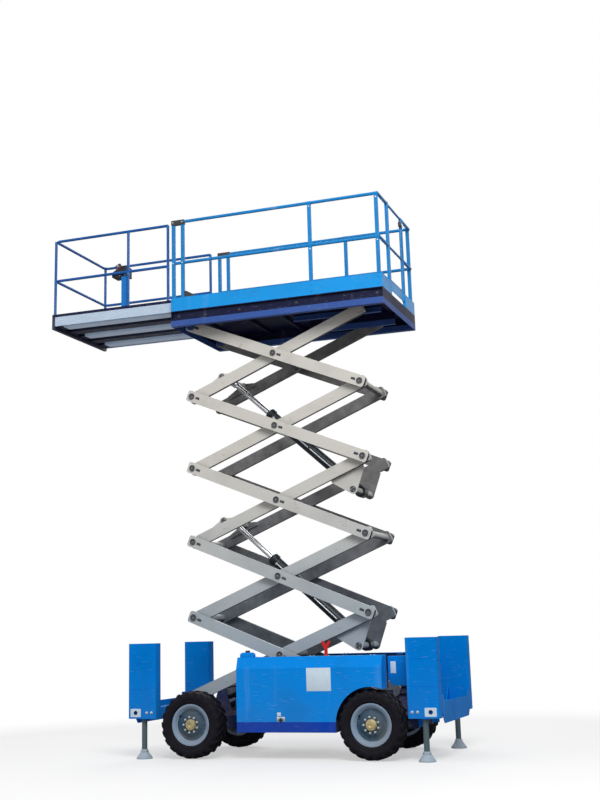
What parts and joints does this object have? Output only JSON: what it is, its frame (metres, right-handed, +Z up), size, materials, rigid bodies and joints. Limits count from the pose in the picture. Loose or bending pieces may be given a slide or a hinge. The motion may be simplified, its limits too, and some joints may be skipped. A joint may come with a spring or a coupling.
{
  "type": "scissor lift",
  "caption": "Self-propelled rough-terrain scissor lift on wheels with outriggers, a coupled scissor stack, guard-railed work platform and sliding deck extension.",
  "frame": {"origin": "on the ground, midway between the axles on the machine's centre line", "axes": "+X forward towards the steered wheels, +Y to the machine's left, +Z up"},
  "size_m": [4.643, 1.6578, 6.1522],
  "materials": {
    "dark_frame": "satin",
    "machine_blue": "gloss",
    "engine_grey": "matt",
    "red": "gloss",
    "arm_grey": "satin",
    "platform_navy": "satin",
    "cylinder_black": "satin",
    "chrome_rod": "polished",
    "deck_grey": "satin",
    "console_dark": "matt",
    "tyre": "matt",
    "rim_steel": "satin",
    "zinc_steel": "satin"
  },
  "bodies": {
    "chassis": {"chassis_frame": "dark_frame", "front_axle_beam": "dark_frame", "rear_axle_beam": "dark_frame", "front_outriggers": "machine_blue", "rear_outriggers": "machine_blue", "left_tray": "dark_frame", "right_tray": "dark_frame", "engine_block": "engine_grey", "fluid_tank": "engine_grey", "safety_prop": "red"},
    "inner_5": {"inner_arms_5": "arm_grey"},
    "outer_5": {"outer_arms_5": "arm_grey"},
    "inner_4": {"inner_arms_4": "arm_grey"},
    "outer_4": {"outer_arms_4": "arm_grey"},
    "inner_3": {"inner_arms_3": "arm_grey"},
    "outer_3": {"outer_arms_3": "arm_grey"},
    "inner_2": {"inner_arms_2": "arm_grey"},
    "outer_2": {"outer_arms_2": "arm_grey"},
    "inner_1": {"inner_arms_1": "arm_grey"},
    "outer_1": {"outer_arms_1": "arm_grey"},
    "platform": {"platform_frame": "platform_navy", "platform_rails": "machine_blue"},
    "lower_barrel": {"lower_cylinder_barrel": "cylinder_black"},
    "lower_rod": {"lower_cylinder_rod": "chrome_rod"},
    "upper_barrel": {"upper_cylinder_barrel": "cylinder_black"},
    "upper_rod": {"upper_cylinder_rod": "chrome_rod"},
    "extension": {"extension_deck": "deck_grey", "extension_rails": "machine_blue", "control_box": "console_dark"},
    "gate": {"entrance_gate": "machine_blue"},
    "left_cover": {"left_cover": "machine_blue"},
    "right_cover": {"right_cover": "machine_blue"},
    "left_knuckle": {"left_knuckle": "dark_frame"},
    "right_knuckle": {"right_knuckle": "dark_frame"},
    "tie_rod": {"tie_rod": "dark_frame"},
    "front_left_wheel": {"front_left_tyre": "tyre", "front_left_rim": "rim_steel"},
    "front_left_leg": {"front_left_leg": "zinc_steel"},
    "front_right_wheel": {"front_right_tyre": "tyre", "front_right_rim": "rim_steel"},
    "front_right_leg": {"front_right_leg": "zinc_steel"},
    "rear_left_wheel": {"rear_left_tyre": "tyre", "rear_left_rim": "rim_steel"},
    "rear_left_leg": {"rear_left_leg": "zinc_steel"},
    "rear_right_wheel": {"rear_right_tyre": "tyre", "rear_right_rim": "rim_steel"},
    "rear_right_leg": {"rear_right_leg": "zinc_steel"}
  },
  "joints": [
    {"name": "lift", "type": "hinge", "parent": "chassis", "child": "inner_5", "pos_m": [1.107, 0, 0.651], "axis": [0, 1, 0], "range_deg": [-18.8, 31.3]},
    {"name": "centre_pins_5", "type": "hinge", "parent": "inner_5", "child": "outer_5", "pos_m": [0.07983, 0, 1.07437], "axis": [0, 1, 0], "range_deg": [-62.8, 37.8]},
    {"name": "front_pins_4", "type": "hinge", "parent": "outer_5", "child": "inner_4", "pos_m": [1.107, 0, 1.49774], "axis": [0, 1, 0], "range_deg": [-37.8, 62.8]},
    {"name": "centre_pins_4", "type": "hinge", "parent": "inner_4", "child": "outer_4", "pos_m": [0.07983, 0, 1.92111], "axis": [0, 1, 0], "range_deg": [-62.8, 37.8]},
    {"name": "front_pins_3", "type": "hinge", "parent": "outer_4", "child": "inner_3", "pos_m": [1.107, 0, 2.34448], "axis": [0, 1, 0], "range_deg": [-37.8, 62.8]},
    {"name": "centre_pins_3", "type": "hinge", "parent": "inner_3", "child": "outer_3", "pos_m": [0.07983, 0, 2.76785], "axis": [0, 1, 0], "range_deg": [-62.8, 37.8]},
    {"name": "front_pins_2", "type": "hinge", "parent": "outer_3", "child": "inner_2", "pos_m": [1.107, 0, 3.19122], "axis": [0, 1, 0], "range_deg": [-37.8, 62.8]},
    {"name": "centre_pins_2", "type": "hinge", "parent": "inner_2", "child": "outer_2", "pos_m": [0.07983, 0, 3.61458], "axis": [0, 1, 0], "range_deg": [-62.8, 37.8]},
    {"name": "front_pins_1", "type": "hinge", "parent": "outer_2", "child": "inner_1", "pos_m": [1.107, 0, 4.03795], "axis": [0, 1, 0], "range_deg": [-37.8, 62.8]},
    {"name": "centre_pins_1", "type": "hinge", "parent": "inner_1", "child": "outer_1", "pos_m": [0.07983, 0, 4.46132], "axis": [0, 1, 0], "range_deg": [-62.8, 37.8]},
    {"name": "platform_pins", "type": "hinge", "parent": "outer_1", "child": "platform", "pos_m": [1.107, 0, 4.88469], "axis": [0, 1, 0], "range_deg": [-19, 31.5]},
    {"name": "lower_cylinder_foot", "type": "hinge", "parent": "inner_5", "child": "lower_barrel", "pos_m": [-0.78385, 0, 1.14913], "axis": [0, 1, 0], "range_deg": [-64.36, 38.74]},
    {"name": "lower_cylinder_rod_slide", "type": "slide", "parent": "lower_barrel", "child": "lower_rod", "axis": [0.7395, 0, 0.6732], "range_m": [-0.4427, 0.735]},
    {"name": "upper_cylinder_foot", "type": "hinge", "parent": "inner_3", "child": "upper_barrel", "pos_m": [-0.78385, 0, 2.84261], "axis": [0, 1, 0], "range_deg": [-64.36, 38.74]},
    {"name": "upper_cylinder_rod_slide", "type": "slide", "parent": "upper_barrel", "child": "upper_rod", "axis": [0.7395, 0, 0.6732], "range_m": [-0.4427, 0.735]},
    {"name": "deck_extension", "type": "slide", "parent": "platform", "child": "extension", "axis": [1, 0, 0], "range_m": [-1.52, 0]},
    {"name": "gate_hinge", "type": "hinge", "parent": "platform", "child": "gate", "pos_m": [-1.306, 0.292, 5.52619], "axis": [0, 0, 1], "range_deg": [0, 88]},
    {"name": "left_cover_hinge", "type": "hinge", "parent": "chassis", "child": "left_cover", "pos_m": [-0.34, 0.553, 1.045], "axis": [1, 0, 0], "range_deg": [0, 75]},
    {"name": "right_cover_hinge", "type": "hinge", "parent": "chassis", "child": "right_cover", "pos_m": [-0.34, -0.553, 1.045], "axis": [-1, 0, 0], "range_deg": [0, 75]},
    {"name": "steering", "type": "hinge", "parent": "chassis", "child": "left_knuckle", "pos_m": [1.017, 0.545, 0.356], "axis": [0, 0, 1], "range_deg": [-30, 30]},
    {"name": "right_steering", "type": "hinge", "parent": "chassis", "child": "right_knuckle", "pos_m": [1.017, -0.545, 0.356], "axis": [0, 0, 1], "range_deg": [-30.2, 30.2]},
    {"name": "tie_rod_pin", "type": "hinge", "parent": "left_knuckle", "child": "tie_rod", "pos_m": [0.897, 0.545, 0.268], "axis": [0, 0, 1], "range_deg": [-30.2, 30.2]},
    {"name": "front_left_wheel_spin", "type": "hinge", "parent": "left_knuckle", "child": "front_left_wheel", "pos_m": [1.017, 0.67, 0.356], "axis": [0, 1, 0], "continuous": true},
    {"name": "front_left_leg_slide", "type": "slide", "parent": "chassis", "child": "front_left_leg", "axis": [0, 0, 1], "range_m": [-0.12, 0.3]},
    {"name": "front_right_wheel_spin", "type": "hinge", "parent": "right_knuckle", "child": "front_right_wheel", "pos_m": [1.017, -0.67, 0.356], "axis": [0, 1, 0], "continuous": true},
    {"name": "front_right_leg_slide", "type": "slide", "parent": "chassis", "child": "front_right_leg", "axis": [0, 0, 1], "range_m": [-0.12, 0.3]},
    {"name": "rear_left_wheel_spin", "type": "hinge", "parent": "chassis", "child": "rear_left_wheel", "pos_m": [-1.017, 0.67, 0.356], "axis": [0, 1, 0], "continuous": true},
    {"name": "rear_left_leg_slide", "type": "slide", "parent": "chassis", "child": "rear_left_leg", "axis": [0, 0, 1], "range_m": [-0.12, 0.3]},
    {"name": "rear_right_wheel_spin", "type": "hinge", "parent": "chassis", "child": "rear_right_wheel", "pos_m": [-1.017, -0.67, 0.356], "axis": [0, 1, 0], "continuous": true},
    {"name": "rear_right_leg_slide", "type": "slide", "parent": "chassis", "child": "rear_right_leg", "axis": [0, 0, 1], "range_m": [-0.12, 0.3]}
  ],
  "couplings": [
    {"joint": "centre_pins_5", "follows": "lift", "ratio": -2},
    {"joint": "front_pins_4", "follows": "lift", "ratio": 2},
    {"joint": "centre_pins_4", "follows": "lift", "ratio": -2},
    {"joint": "front_pins_3", "follows": "lift", "ratio": 2},
    {"joint": "centre_pins_3", "follows": "lift", "ratio": -2},
    {"joint": "front_pins_2", "follows": "lift", "ratio": 2},
    {"joint": "centre_pins_2", "follows": "lift", "ratio": -2},
    {"joint": "front_pins_1", "follows": "lift", "ratio": 2},
    {"joint": "centre_pins_1", "follows": "lift", "ratio": -2},
    {"joint": "platform_pins", "follows": "lift", "ratio": 1},
    {"joint": "lower_cylinder_foot", "follows": "lift", "ratio": -2.05},
    {"joint": "lower_cylinder_rod_slide", "follows": "lift", "m_per_rad": 1.34},
    {"joint": "upper_cylinder_foot", "follows": "lift", "ratio": -2.05},
    {"joint": "upper_cylinder_rod_slide", "follows": "lift", "m_per_rad": 1.34},
    {"joint": "right_steering", "follows": "steering", "ratio": 1},
    {"joint": "tie_rod_pin", "follows": "steering", "ratio": -1}
  ]
}
